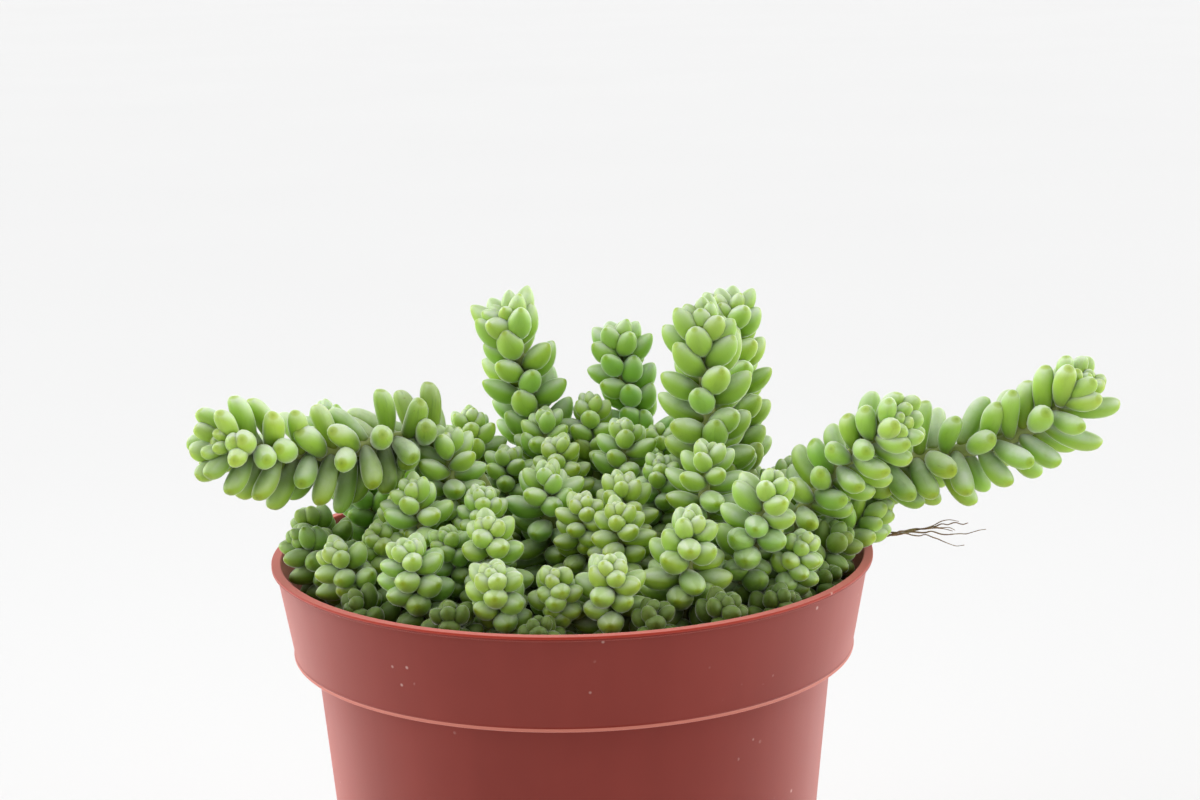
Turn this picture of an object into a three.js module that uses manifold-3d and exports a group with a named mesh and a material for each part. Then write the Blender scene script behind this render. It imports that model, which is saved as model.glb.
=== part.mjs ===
// A trailing stonecrop of the burro's tail kind in its round plastic nursery pot.
// Millimetres, +Z up. The origin is the centre of the pot's underside, and the plant's best side faces -Y.
import * as THREE from "three";
import { mergeVertices } from "three/addons/utils/BufferGeometryUtils.js";
import Module from "manifold-3d";

const wasm = await Module();
wasm.setup();

// Pot: a thin wall with a deep band round the top and a flat lip
const POT_HEIGHT = 105;
const RIM_RADIUS = 60;
const LIP_WIDTH = 1.9;
const LIP_DEPTH = 0.8;
const LIP_PROUD = 0.9;
const EDGE_ROUND = 0.25;
const BAND_HEIGHT = 19;
const BAND_BOTTOM_RADIUS = 56;
const BAND_EDGE = 0.4;
const BODY_TOP_RADIUS = 51.9;
const BASE_RADIUS = 44;
const BASE_ROUND = 2;
const WALL = 1;
const FLOOR = 2.4;
const ROUND_SIDES = 36;

// Drain holes in the pot's floor, on a circle round a solid middle
const DRAIN_HOLES = 6;
const DRAIN_RADIUS = 4.5;
const DRAIN_CIRCLE = 29;
const DRAIN_SIDES = 8;

// Soil: fills the pot to a little under the ledge inside the band
const SOIL_TOP = 90;
const SOIL_CROWN = 1.2;
const FIT_GAP = 0.3;

// Stems: round, thin at the tip, each in a plain hole of the soil
const STEM_RADIUS = 1.7;
const STEM_STEP = 8;
const FRAME_STEPS = 24;
const ROOTED_DEPTH = 8;
const HOLE_SIDES = 5;
const HOLE_RADIUS = 2.5;

// Leaves: plump, on the spiral that leaves of this kind follow
const GOLDEN_ANGLE = (137.508 * Math.PI) / 180;
const LEAF_WIDTH_BASE = 2.1;
const LEAF_WIDTH_SHARE = 0.26; // of its length
const LEAF_THICKNESS = 0.82; // of its width
const LEAF_RINGS = [[0.6, 1], [0.97, 0.6]]; // share of the length, and fullness there
const SECTION_FILL = 1.24; // a four-cornered section has the area of a round one
const LEAF_CURL = 0.09; // how far the tip bends up, of its length
const BUD_SIZE = 0.4; // length of the leaf at the very tip, of a full leaf
const BUD_WIDTH = 0.25; // width share that even the smallest leaf has, before its size adds to it
const BUD_TILT = 18; // degrees from the stem's direction
const FULL_TILT = 76; // of a short stem's leaves
const OLD_TILT = 12; // how much further the oldest leaves open
const OLD_REACH = 5; // of a leaf's length down from the tip, where leaves are old
const CORE_SHARE = 0.29; // radius of a head's core under its leaves, of a full leaf's length
const CORE_TAPER = 0.75;
const CORE_REACH = 0.35; // of a leaf's length, down from the tip, over which the core thickens
const BUD_REACH = 0.22; // how far the topmost leaves reach past the core's tip, of a full leaf's length
const SIZE_REACH = 0.3; // of a leaf's length, down the stem, where leaves reach most of their size
const TILT_REACH = 0.42;
const LEAF_PITCH = 0.37; // of a leaf's width, along the stem, from one leaf to the next
const FIRST_STEP = 0.5;
const INNER_LEAFY = 22; // leafy length of a short stem in the middle, where older leaves have dropped
const EDGE_LEAFY = 6; // how much more of it a stem at the pot's edge keeps
const MOST_LEAFY = 0.9; // of a short stem's height
const TURN_STEP = 77; // degrees by which each short stem is turned more than the one before
const KNEE_HEIGHT = 0.55; // share of a short stem's height where it starts to lean
const KNEE_LEAN = 0.3; // share of its lean that it has there
const JITTER_TILT = 5;
const JITTER_SIZE = 0.07;

// A leaf that would touch another is folded up its own stem, then made shorter, then left out
const FOLDS = [0, 15, 30, -12];
const SHORTER = [1, 0.8, 0.6];
const SHORTER_IS_THINNER = 0.6; // how much of the shortening its width follows
const LEAF_CLEARANCE = 0.15;
const TOUCH_VOLUME = 1e-6;

// Aerial roots: thin dry strands at the pot's right edge
const ROOT_RADIUS = 0.45;
const ROOT_TIP_RADIUS = 0.25;
const ROOT_SIDES = 4;
const ROOT_STEP = 4;

// Each stem: where it leaves the soil and what it passes on its way to the tip, as x, y and height over the
// soil. leaf is the length of a full leaf, leafy the length of stem that carries leaves, down from the tip,
// open how far its leaves tilt out, in degrees, and spread how loosely they follow each other.
const STEMS = [
  {
    name: "stem_left_arm",
    leaf: 11.2,
    leafy: 70,
    turn: 40,
    open: 76,
    spread: 0.92,
    route: [
      [-12, 8, 0], [-15, 9, 18], [-20, 8, 30], [-28, 3, 37], [-36, -5, 39],
      [-44, -10, 38], [-53, -14, 38.5], [-61, -19.5, 41], [-66.3, -27.5, 44.3],
    ],
  },
  {
    name: "stem_right_arm_far",
    leaf: 11,
    leafy: 68,
    turn: 200,
    open: 72,
    spread: 0.96,
    route: [
      [38, 7, 0], [44, 6, 14], [54, 3, 25], [65, 0, 31], [74, -1, 33],
      [83, -3, 35], [90, -4, 38], [96, -6, 43], [101.3, -9, 50.6],
    ],
  },
  {
    name: "stem_right_arm_near",
    leaf: 9.6,
    leafy: 48,
    turn: 120,
    open: 68,
    spread: 0.95,
    route: [
      [38, -4, 0], [40, -5, 12], [45, -8, 23], [51, -10, 31], [56, -13, 37],
      [60.5, -17, 41.5], [63.5, -21, 44.5],
    ],
  },
  {
    name: "stem_tall_right",
    leaf: 10.2,
    leafy: 58,
    turn: 260,
    open: 72,
    spread: 0.95,
    route: [[30, 4, 0], [29, 3, 20], [28, 2, 37], [27.2, 2, 51], [27, 0, 62.4]],
  },
  {
    name: "stem_tall_back_left",
    leaf: 9.6,
    leafy: 54,
    turn: 60,
    open: 52,
    spread: 1,
    route: [[-3, 28, 0], [-4.5, 28, 22], [-8, 27, 38], [-10, 26, 47], [-12.8, 24, 59.4]],
  },
  {
    name: "stem_tall_back_middle",
    leaf: 8.4,
    leafy: 48,
    turn: 320,
    open: 52,
    spread: 1,
    route: [[18, 30, 0], [16, 31.5, 24], [13, 31, 39], [11, 30, 46], [10.3, 29, 53.4]],
  },
  {
    name: "stem_tall_right_rear",
    leaf: 8.6,
    leafy: 50,
    turn: 100,
    open: 56,
    spread: 1.05,
    route: [[37, 22, 0], [35, 24, 24], [34, 24, 42], [33.5, 23, 60]],
  },
  {
    name: "stem_left_rear",
    leaf: 8.4,
    leafy: 34,
    turn: 10,
    open: 60,
    spread: 1.05,
    route: [[-37, 15, 0], [-40, 15.5, 18], [-46, 16, 31], [-51, 16, 40]],
  },
  {
    name: "stem_right_edge",
    leaf: 7.6,
    leafy: 24,
    turn: 80,
    open: 66,
    spread: 1,
    route: [[46, -3, 0], [49, -3, 10], [55, -2, 18], [61, -3, 21.5]],
  },
];

// The short stems, each a name, where it leaves the soil, its tip, and the length of a full leaf
const SHORT_STEMS = [
  ["stem_front_1", [7, -38], [7, -44, 23.5], 7.6],
  ["stem_front_2", [20, -31], [22.3, -37, 29.5], 8.8],
  ["stem_front_3", [-13, -38], [-14.5, -44, 22.8], 7.2],
  ["stem_front_4", [-28, -29], [-31, -34.5, 25], 7.4],
  ["stem_front_5", [31.5, -25.5], [37.8, -31, 35.4], 8.4],
  ["stem_front_6", [-38, -20], [-45.5, -24, 22], 7.6],
  ["stem_front_7", [-3, -38], [-3, -43.5, 22], 5.8],
  ["stem_front_8", [-15, -25], [-15.7, -30.5, 28.5], 7.4],
  ["stem_middle_1", [-4, -6], [-5, -9.5, 33], 9.2],
  ["stem_middle_2", [25, -8], [27, -10.5, 36.5], 9.4],
  ["stem_middle_3", [9, -20], [9, -24, 29], 7.2],
  ["stem_middle_4", [10, -8], [10, -11, 31], 7.4],
  ["stem_middle_5", [-23, 1], [-24.5, -1, 38], 9],
  ["stem_middle_6", [-27, -12], [-31, -15.5, 32], 8],
  ["stem_middle_7", [-17, -12], [-17.2, -16.5, 30.5], 6.4],
  ["stem_middle_8", [11, 11], [11, 9.5, 37.5], 8],
  ["stem_middle_9", [-2, 9], [-2.5, 8, 35], 6.8],
  ["stem_middle_10", [18, 0], [17.6, -1.5, 33], 5.8],
  ["stem_middle_11", [2, -15], [2.2, -18.5, 29.5], 6],
  ["stem_middle_12", [-21, -21], [-24, -25, 25], 6],
  ["stem_middle_13", [-13, 16.5], [-13, 14, 31.5], 7.4],
  ["stem_middle_14", [21, -19], [22, -21, 24], 6.6],
  ["stem_left_1", [-42, -9], [-54, -11, 21.5], 7.6],
  ["stem_left_2", [-34, -13], [-38, -18, 24], 5.4],
  ["stem_left_3", [-44, 4], [-54, 3, 22], 7.4],
  ["stem_left_4", [-32, 4], [-35, 4, 24], 7.4],
  ["stem_right_1", [38.5, -24.5], [44, -29.5, 24], 5.6],
  ["stem_right_2", [43, -11], [53.5, -13, 20.5], 6.8],
  ["stem_right_3", [45, 9.5], [51, 13, 19], 7],
  ["stem_back_1", [-19, 21], [-21, 20.5, 38], 8],
  ["stem_back_2", [5, 21], [4.7, 24, 40], 7.6],
  ["stem_back_3", [-6, 19], [-5, 19, 38], 7.6],
  ["stem_back_4", [20, 16], [18, 16.5, 35], 6.2],
  ["stem_back_5", [42.5, 18], [46, 22, 26], 6.8],
  ["stem_back_6", [-29, 28], [-32, 32, 27], 7.8],
  ["stem_back_7", [-15, 38], [-16, 43, 25], 7.6],
  ["stem_back_8", [2, 39], [2, 45, 23], 7.4],
  ["stem_back_9", [26, 35], [29, 42, 24], 7.6],
  ["stem_back_10", [14, 42], [15, 47, 19], 6.4],
  ["stem_back_11", [-38, 26], [-43, 28, 19], 6.6],
  ["stem_low_1", [-36, -28], [-41, -32, 14], 7],
  ["stem_low_2", [-21, -40], [-23, -44, 16], 6.2],
  ["stem_low_3", [-6, -46], [-6.5, -48, 14], 5.6],
  ["stem_low_4", [14, -43], [15, -46, 16], 5.8],
  ["stem_low_5", [25, -38.5], [28.5, -43.5, 16], 6.4],
  ["stem_low_6", [33.5, -32], [40, -36, 15], 5.6],
  ["stem_low_7", [42.5, -18.5], [50, -21.5, 14.5], 5.8],
];

// Which way the aerial roots run from the stem at the right edge, in the same terms as a stem's route
const ROOT_STRANDS = [
  [[56.8, -0.3, 17.3], [60.5, 1.6, 16.9], [66, 1.7, 17.8], [72, 0.8, 18.4], [78, 0, 19], [84, -1, 18.6]],
  [[56.8, -0.2, 17.2], [61, 2.2, 16.6], [66, 1, 18.4], [72, -1, 19.2], [78, -3, 19.6]],
  [[65, 1.6, 17.7], [70, -0.6, 17.6], [75, -3, 16.6], [80, -5, 15.4]],
];

// Colours, roughness and metalness, as seen
const LOOKS = {
  pot: { color: 0xb4604f, roughness: 0.5, metalness: 0 },
  soil: { color: 0x2b211a, roughness: 0.95, metalness: 0 },
  leaves: { color: 0x8db36a, roughness: 0.45, metalness: 0 },
  shadedLeaves: { color: 0x6f9150, roughness: 0.5, metalness: 0 },
  roots: { color: 0x7a5a44, roughness: 0.85, metalness: 0 },
};

// Seeded draws, the same on every run
function draws(seed) {
  let state = (seed * 7919 + 17) % 2147483647;
  return () => {
    state = (state * 16807) % 2147483647;
    return state / 2147483647;
  };
}

const vec = (x, y, z) => new THREE.Vector3(x, y, z);
const overSoil = ([x, y, height]) => vec(x, y, SOIL_TOP + height);

// Solids in and out of the joining library

function solidOf(geometry) {
  const bare = geometry.clone();
  bare.deleteAttribute("normal");
  bare.deleteAttribute("uv");
  const merged = mergeVertices(bare, 1e-4);
  return new wasm.Manifold(
    new wasm.Mesh({
      numProp: 3,
      vertProperties: merged.attributes.position.array,
      triVerts: new Uint32Array(merged.index.array),
    }),
  );
}

function geometryOf(solid) {
  const mesh = solid.getMesh();
  const geometry = new THREE.BufferGeometry();
  geometry.setAttribute("position", new THREE.BufferAttribute(mesh.vertProperties, 3));
  geometry.setIndex(new THREE.BufferAttribute(mesh.triVerts, 1));
  geometry.computeVertexNormals();
  return geometry;
}

const joined = (solids) => solids.reduce((all, one) => all.add(one));

// A surface of triangles that grows face by face; loops of corners run anticlockwise seen from outside
class Skin {
  points = [];
  faces = [];

  add(points) {
    const first = this.points.length;
    this.points.push(...points);
    return points.map((_, i) => first + i);
  }

  // A flat or slightly bent polygon, split from its first corner
  cover(loop) {
    for (let i = 2; i < loop.length; i++) {
      this.faces.push(loop[0], loop[i - 1], loop[i]);
    }
  }

  // The wall between one loop and the next one further out
  wall(inner, outer) {
    inner.forEach((corner, i) => {
      const next = (i + 1) % inner.length;
      this.faces.push(corner, inner[next], outer[next], corner, outer[next], outer[i]);
    });
  }

  geometry() {
    const geometry = new THREE.BufferGeometry().setFromPoints(this.points);
    geometry.setIndex(this.faces);
    return geometry;
  }
}

// Points of a round section at a place, at the given turns
const sectionAt = ({ at, side, across }, radius, turns) =>
  turns.map((turn) =>
    at
      .clone()
      .addScaledVector(side, radius * Math.cos(turn))
      .addScaledVector(across, radius * Math.sin(turn)),
  );

const evenTurns = (sides) => Array.from({ length: sides }, (_, i) => (i / sides) * 2 * Math.PI);

// The frame of a smooth line at a share of its length, with a side direction that doesn't twist on the way
function placeAt(curve, share) {
  let side = vec(0, 1, 0);
  let along = vec(0, 0, 1);
  for (let i = 0; i <= FRAME_STEPS; i++) {
    along = curve.getTangentAt((share * i) / FRAME_STEPS);
    side = side.clone().addScaledVector(along, -side.dot(along)).normalize();
  }
  return { at: curve.getPointAt(share), along, side, across: along.clone().cross(side) };
}

const smoothLine = (points) => new THREE.CatmullRomCurve3(points, false, "catmullrom", 0.5);

// Pot

// The body's outer radius at a height, on its straight taper
const bodyRadius = (z) =>
  BASE_RADIUS + ((BODY_TOP_RADIUS - BASE_RADIUS) * z) / (POT_HEIGHT - BAND_HEIGHT);

function potProfile() {
  const bandZ = POT_HEIGHT - BAND_HEIGHT;
  const lipZ = POT_HEIGHT - LIP_DEPTH;
  const inner = RIM_RADIUS - LIP_WIDTH;
  return [
    [0, 0],
    [BASE_RADIUS - BASE_ROUND, 0],
    [bodyRadius(BASE_ROUND), BASE_ROUND],
    [BODY_TOP_RADIUS, bandZ],
    [BAND_BOTTOM_RADIUS - BAND_EDGE, bandZ],
    [BAND_BOTTOM_RADIUS, bandZ + BAND_EDGE],
    [RIM_RADIUS - LIP_PROUD, lipZ],
    [RIM_RADIUS, lipZ + EDGE_ROUND],
    [RIM_RADIUS, POT_HEIGHT - EDGE_ROUND],
    [RIM_RADIUS - EDGE_ROUND, POT_HEIGHT],
    [inner + EDGE_ROUND, POT_HEIGHT],
    [inner, POT_HEIGHT - EDGE_ROUND],
    [BAND_BOTTOM_RADIUS - WALL, bandZ + WALL + BAND_EDGE],
    [BODY_TOP_RADIUS - WALL, bandZ + WALL],
    [bodyRadius(FLOOR) - WALL, FLOOR],
    [0, FLOOR],
  ].map(([r, z]) => new THREE.Vector2(r, z));
}

// A lathe turns about Y, and the part's upright axis is Z
const turned = (profile, sides) => new THREE.LatheGeometry(profile, sides).rotateX(Math.PI / 2);

function makePot() {
  const shell = solidOf(turned(potProfile(), ROUND_SIDES));
  const drains = Array.from({ length: DRAIN_HOLES }, (_, i) => {
    const angle = (i / DRAIN_HOLES) * 2 * Math.PI;
    const hole = new THREE.CylinderGeometry(DRAIN_RADIUS, DRAIN_RADIUS, 3 * FLOOR, DRAIN_SIDES);
    hole.rotateX(Math.PI / 2);
    hole.translate(DRAIN_CIRCLE * Math.cos(angle), DRAIN_CIRCLE * Math.sin(angle), 0);
    return solidOf(hole);
  });
  return shell.subtract(joined(drains));
}

// Soil, with a plain hole for each stem
function makeSoil(feet) {
  const edge = BODY_TOP_RADIUS - WALL - FIT_GAP;
  const ledgeZ = POT_HEIGHT - BAND_HEIGHT + WALL;
  const profile = [
    [0, FLOOR + FIT_GAP],
    [bodyRadius(FLOOR) - WALL - FIT_GAP, FLOOR + FIT_GAP],
    [edge, ledgeZ],
    [edge, SOIL_TOP - SOIL_CROWN],
    [0, SOIL_TOP],
  ].map(([r, z]) => new THREE.Vector2(r, z));
  const filling = solidOf(turned(profile, ROUND_SIDES));
  const depth = ROOTED_DEPTH + 2 * FIT_GAP;
  const holes = feet.map(([x, y]) => {
    const hole = new THREE.CylinderGeometry(HOLE_RADIUS, HOLE_RADIUS, 2 * depth, HOLE_SIDES);
    return solidOf(hole.rotateX(Math.PI / 2).translate(x, y, SOIL_TOP));
  });
  return filling.subtract(joined(holes));
}

// Stems

// A short stem rises straight and then leans out to its tip; all but its foot carries leaves
function shortStem([name, [x, y], tip, leaf], index) {
  const [tipX, tipY, height] = tip;
  const outwards = Math.hypot(x, y) / BASE_RADIUS;
  return {
    name,
    leaf,
    leafy: Math.min(MOST_LEAFY * height, INNER_LEAFY + EDGE_LEAFY * outwards ** 2),
    turn: TURN_STEP * index,
    open: FULL_TILT,
    spread: 1,
    route: [
      [x, y, 0],
      [x + KNEE_LEAN * (tipX - x), y + KNEE_LEAN * (tipY - y), KNEE_HEIGHT * height],
      tip,
    ],
  };
}

// How far a leaf has grown and opened at a distance down from the tip
const grown = (stem, down) => 1 - (1 - BUD_SIZE) * Math.exp(-down / (SIZE_REACH * stem.leaf));
const opened = (stem, down) => 1 - Math.exp(-down / (TILT_REACH * stem.leaf));
const tiltOf = (stem, down) =>
  BUD_TILT +
  (stem.open - BUD_TILT) * opened(stem, down) +
  OLD_TILT * Math.min(1, down / (OLD_REACH * stem.leaf));
const leafWidth = (length) => LEAF_WIDTH_BASE + LEAF_WIDTH_SHARE * length;
const coreRadius = (stem, down) =>
  CORE_SHARE * stem.leaf * (1 - CORE_TAPER * Math.exp(-down / (CORE_REACH * stem.leaf)));

// A head's core is tiled by cells on the spiral: cell k has its corners at steps k, k+2, k+5 and k+3 of the
// spiral. Every leaf stands on one cell. Any five steps in a row close a loop round the stem.
const CELL = [0, 2, 5, 3];
const CELL_TURN = (5 * GOLDEN_ANGLE - 4 * Math.PI) / 2;
const LOOP = [0, 3, 1, 4, 2];

// The spiral's steps from the tip down, as distances along the stem
function spiralSteps(stem) {
  const steps = [];
  for (let down = FIRST_STEP; down < stem.leafy; ) {
    steps.push(down);
    down += LEAF_PITCH * leafWidth(stem.leaf) * grown(stem, down) * stem.spread;
  }
  return steps;
}

// The foot of a stem, from its leafy part down into its hole, where it stands upright
function addFoot(skin, upper, turns, bare, placeUp) {
  const rings = Math.max(1, Math.round(bare / STEM_STEP));
  const base = { ...placeUp(0), side: vec(0, 1, 0), across: vec(-1, 0, 0) };
  const buried = { ...base, at: base.at.clone().setZ(SOIL_TOP - ROOTED_DEPTH) };
  const places = [];
  for (let r = 1; r < rings; r++) {
    places.push(placeUp(bare * (1 - r / rings)));
  }
  let above = upper;
  for (const place of [...places, base, buried]) {
    const below = skin.add(sectionAt(place, STEM_RADIUS, turns));
    skin.wall(below, above);
    above = below;
  }
  skin.cover([...above].reverse());
}

// A stem without leaves: its skin with a spiral of cells, and what its leaves need to know
function stemCore(stem) {
  const curve = smoothLine(stem.route.map(overSoil));
  const length = curve.getLength() - BUD_REACH * stem.leaf;
  const placeUp = (height) => placeAt(curve, height / curve.getLength());
  const placeDown = (down) => placeUp(length - down);
  const turnOf = (step) => THREE.MathUtils.degToRad(stem.turn) + step * GOLDEN_ANGLE;
  const steps = spiralSteps(stem);
  const cells = steps.length - CELL[2];
  const skin = new Skin();
  steps.forEach((down, i) => skin.add(sectionAt(placeDown(down), coreRadius(stem, down), [turnOf(i)])));
  const [tip] = skin.add([placeDown(0).at]);
  LOOP.forEach((corner, i) => skin.cover([tip, corner, LOOP[(i + 1) % LOOP.length]]));
  const last = LOOP.map((i) => cells + i);
  addFoot(skin, last, last.map(turnOf), length - steps[steps.length - 1], placeUp);
  return { stem, placeDown, steps, turnOf, skin, cells };
}

// The leaves of a stem, from its tip down: where each stands, and its tilt and size
function leafPlan({ stem, steps, turnOf, cells }, seed) {
  const draw = draws(seed);
  const spread = () => 2 * draw() - 1;
  return Array.from({ length: cells }, (_, k) => {
    const down = (steps[k + CELL[1]] + steps[k + CELL[3]]) / 2;
    const size = grown(stem, down);
    return {
      cell: k,
      down,
      turn: turnOf(k) + CELL_TURN,
      tilt: tiltOf(stem, down) + JITTER_TILT * spread(),
      length: stem.leaf * size * (1 + JITTER_SIZE * spread()),
      width: leafWidth(stem.leaf) * (BUD_WIDTH + (1 - BUD_WIDTH) * size),
    };
  });
}

// A leaf's rings of four corners, from its fullest section out to its blunt end. Its line bends up towards
// the stem's tip.
function leafRings(core, { down, turn, tilt, length, width }) {
  const { at, along, side, across } = core.placeDown(down);
  const out = side.clone().multiplyScalar(Math.cos(turn)).addScaledVector(across, Math.sin(turn));
  const angle = THREE.MathUtils.degToRad(tilt);
  const ahead = along.clone().multiplyScalar(Math.cos(angle)).addScaledVector(out, Math.sin(angle));
  const over = along.clone().multiplyScalar(Math.sin(angle)).addScaledVector(out, -Math.cos(angle));
  const beside = ahead.clone().cross(over);
  return LEAF_RINGS.map(([share, fullness]) => {
    const middle = at
      .clone()
      .addScaledVector(ahead, share * length)
      .addScaledVector(over, LEAF_CURL * length * share * share);
    const half = (width * fullness * SECTION_FILL) / 2;
    const corner = (direction, size) => middle.clone().addScaledVector(direction, size);
    return [
      corner(over, LEAF_THICKNESS * half),
      corner(beside, half),
      corner(over, -LEAF_THICKNESS * half),
      corner(beside, -half),
    ];
  });
}

function raiseLeaf(skin, root, rings) {
  let inner = root;
  for (const ring of rings) {
    const outer = skin.add(ring);
    skin.wall(inner, outer);
    inner = outer;
  }
  skin.cover(inner);
}

// The leaf by itself as a closed body, for testing what it touches
function leafBody(core, leaf) {
  const skin = new Skin();
  const root = skin.add(CELL.map((step) => core.skin.points[leaf.cell + step]));
  skin.faces.push(root[0], root[2], root[1], root[0], root[3], root[2]);
  raiseLeaf(skin, root, leafRings(core, leaf));
  return solidOf(skin.geometry());
}

// The whole stem in one skin: each cell carries its leaf, or stays flat where the leaf was left out
function stemSolid(core, leaves) {
  const skin = new Skin();
  skin.add(core.skin.points);
  skin.faces.push(...core.skin.faces);
  for (let cell = 0; cell < core.cells; cell++) {
    const root = CELL.map((step) => cell + step);
    const leaf = leaves.get(cell);
    if (leaf) {
      raiseLeaf(skin, root, leafRings(core, leaf));
    } else {
      skin.cover(root);
    }
  }
  return solidOf(skin.geometry());
}

const boxOf = (solid) => {
  const { min, max } = solid.boundingBox();
  return new THREE.Box3(vec(...min), vec(...max));
};

const placedBody = (owner, solid) => ({ owner, solid, box: boxOf(solid) });

function touches(body, others) {
  const box = boxOf(body);
  return others.some((other) => {
    if (!other.box.intersectsBox(box)) return false;
    const common = body.intersect(other.solid);
    const shared = common.volume();
    common.delete();
    return shared > TOUCH_VOLUME;
  });
}

// The leaf as it ends up: as planned, or folded, or shorter, or null
function fitted(core, leaf, own, others) {
  for (const share of SHORTER) {
    for (const fold of FOLDS) {
      const tried = {
        ...leaf,
        length: leaf.length * share,
        width: leaf.width * THREE.MathUtils.lerp(1, share, SHORTER_IS_THINNER),
        tilt: Math.max(BUD_TILT, leaf.tilt - fold),
      };
      const wide = {
        ...tried,
        length: tried.length + LEAF_CLEARANCE,
        width: tried.width + 2 * LEAF_CLEARANCE,
      };
      if (!touches(leafBody(core, tried), own) && !touches(leafBody(core, wide), others)) return tried;
    }
  }
  return null;
}

// All stems with their leaves. Leaves are placed rank by rank from the tips down, so that every head keeps
// its own and what is crowded out is low and hidden.
function growStems(stems, still) {
  const cores = stems.map((stem) => stemCore(stem));
  const plans = cores.map((core, i) => leafPlan(core, i + 1));
  const kept = cores.map(() => new Map());
  const bodies = cores.map((core, i) => placedBody(core, stemSolid(core, kept[i])));
  still.forEach((solid) => bodies.push(placedBody(null, solid)));
  const ranks = Math.max(...cores.map((core) => core.cells));
  for (let rank = 0; rank < ranks; rank++) {
    cores.forEach((core, i) => {
      if (rank >= core.cells) return;
      const own = bodies.filter((body) => body.owner === core);
      const others = bodies.filter((body) => body.owner !== core);
      const leaf = fitted(core, plans[i][rank], own, others);
      if (!leaf) return;
      kept[i].set(rank, leaf);
      bodies.push(placedBody(core, leafBody(core, leaf)));
    });
  }
  return cores.map((core, i) => ({ name: core.stem.name, solid: stemSolid(core, kept[i]) }));
}

// Aerial roots
function makeRoots() {
  const strands = ROOT_STRANDS.map((route) => {
    const curve = smoothLine(route.map(overSoil));
    const count = Math.round(curve.getLength() / ROOT_STEP);
    const skin = new Skin();
    const turns = evenTurns(ROOT_SIDES);
    const rings = Array.from({ length: count + 1 }, (_, i) => {
      const radius = THREE.MathUtils.lerp(ROOT_RADIUS, ROOT_TIP_RADIUS, i / count);
      return skin.add(sectionAt(placeAt(curve, i / count), radius, turns));
    });
    skin.cover([...rings[0]].reverse());
    rings.slice(1).forEach((ring, i) => skin.wall(rings[i], ring));
    skin.cover(rings[count]);
    return solidOf(skin.geometry());
  });
  return joined(strands);
}

// Assembly

const part = new THREE.Group();

function addPiece(name, solid, look) {
  const mesh = new THREE.Mesh(geometryOf(solid), new THREE.MeshStandardMaterial(LOOKS[look]));
  mesh.name = name;
  part.add(mesh);
}

const allStems = [...STEMS, ...SHORT_STEMS.map(shortStem)];
const pot = makePot();
const soil = makeSoil(allStems.map((stem) => stem.route[0]));
const roots = makeRoots();

addPiece("pot", pot, "pot");
addPiece("soil", soil, "soil");
addPiece("aerial_roots", roots, "roots");
for (const { name, solid } of growStems(allStems, [pot, soil, roots])) {
  addPiece(name, solid, name.startsWith("stem_low") ? "shadedLeaves" : "leaves");
}

export default part;
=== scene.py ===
"""Looks of a potted burro's tail: plump leaves on crowded stems, dark soil and a plastic pot.

Every stem follows the same line as its solid in the frame and carries all its leaves, smooth and
plump, where the solid carries fewer and plainer ones. Lengths are in millimetres until a mesh is
made.
"""

import math

import bmesh
import bpy
import numpy as np
from mathutils import Matrix, Vector


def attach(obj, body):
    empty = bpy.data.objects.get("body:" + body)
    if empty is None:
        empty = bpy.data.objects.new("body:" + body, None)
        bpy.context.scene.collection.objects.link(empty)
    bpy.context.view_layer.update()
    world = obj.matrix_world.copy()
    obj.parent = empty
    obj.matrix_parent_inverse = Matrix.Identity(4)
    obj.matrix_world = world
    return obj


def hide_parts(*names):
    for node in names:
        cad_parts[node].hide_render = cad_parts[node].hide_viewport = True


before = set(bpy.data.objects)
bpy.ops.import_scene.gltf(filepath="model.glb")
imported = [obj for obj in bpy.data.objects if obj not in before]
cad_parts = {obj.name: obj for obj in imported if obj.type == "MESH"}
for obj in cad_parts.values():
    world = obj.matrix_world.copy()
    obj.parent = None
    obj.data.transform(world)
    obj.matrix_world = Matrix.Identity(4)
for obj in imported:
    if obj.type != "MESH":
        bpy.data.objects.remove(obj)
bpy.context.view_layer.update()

MM = 0.001
GOLDEN_ANGLE = math.radians(137.508)

# Seeds of the random draws. A stem's own seed is its number in the list of stems
TINT_SEED = 77
SOIL_SEED = 5
ROOT_SEED = 11

# Pot, at the frame's own sizes
POT_HEIGHT = 105
RIM_RADIUS = 60
LIP_WIDTH = 1.9
LIP_DEPTH = 0.8
LIP_PROUD = 0.9  # how far the lip stands out over the band
LIP_GROOVE = 0.12  # how deep the fine line round the lip is
BAND_HEIGHT = 19
BAND_BOTTOM = POT_HEIGHT - BAND_HEIGHT
BAND_BOTTOM_RADIUS = 56
BEAD = 0.28  # how far the moulded line at the bottom of the band stands out
BODY_TOP_RADIUS = 51.9
BASE_RADIUS = 44
FOOT = 2.6  # how far the bend between the body and the underside reaches
WALL = 1
FLOOR = 2.4
DRAIN_HOLES = 6
DRAIN_RADIUS = 4.5
DRAIN_CIRCLE = 29
DRAIN_SIDES = 40
DRAIN_CUT = (-4, 8)  # from below the floor to above it
CORNER_RADIUS = 0.3
CORNER_STEPS = 4
CORNER_SHARE = 0.45  # the most that a rounded corner takes of the edges beside it
ROUND_SIDES = 160
FLAT = 0.999  # how upright the normal of a face is that is shaded flat

# Soil
SOIL_TOP = 90
SOIL_CROWN = 1.2  # how much lower its edge is than its middle
SOIL_GAP = 0.3
SOIL_WAVE = 0.45
SOIL_RINGS = 40
SOIL_ROUND = 132
SOIL_LUMPS = 1500
LUMP_REACH = 0.985  # of the way to the soil's edge
LUMP_SMALLEST = 0.35
LUMP_RANGE = 1.15  # what the largest lump's size has over the smallest
LUMP_STRETCH = (0.7, 0.6)  # the least along an axis, and the range over it
LUMP_ROUGHNESS = 0.25
LUMP_PROUD = 0.25  # how high a lump's middle lies over the soil, of its size

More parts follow.
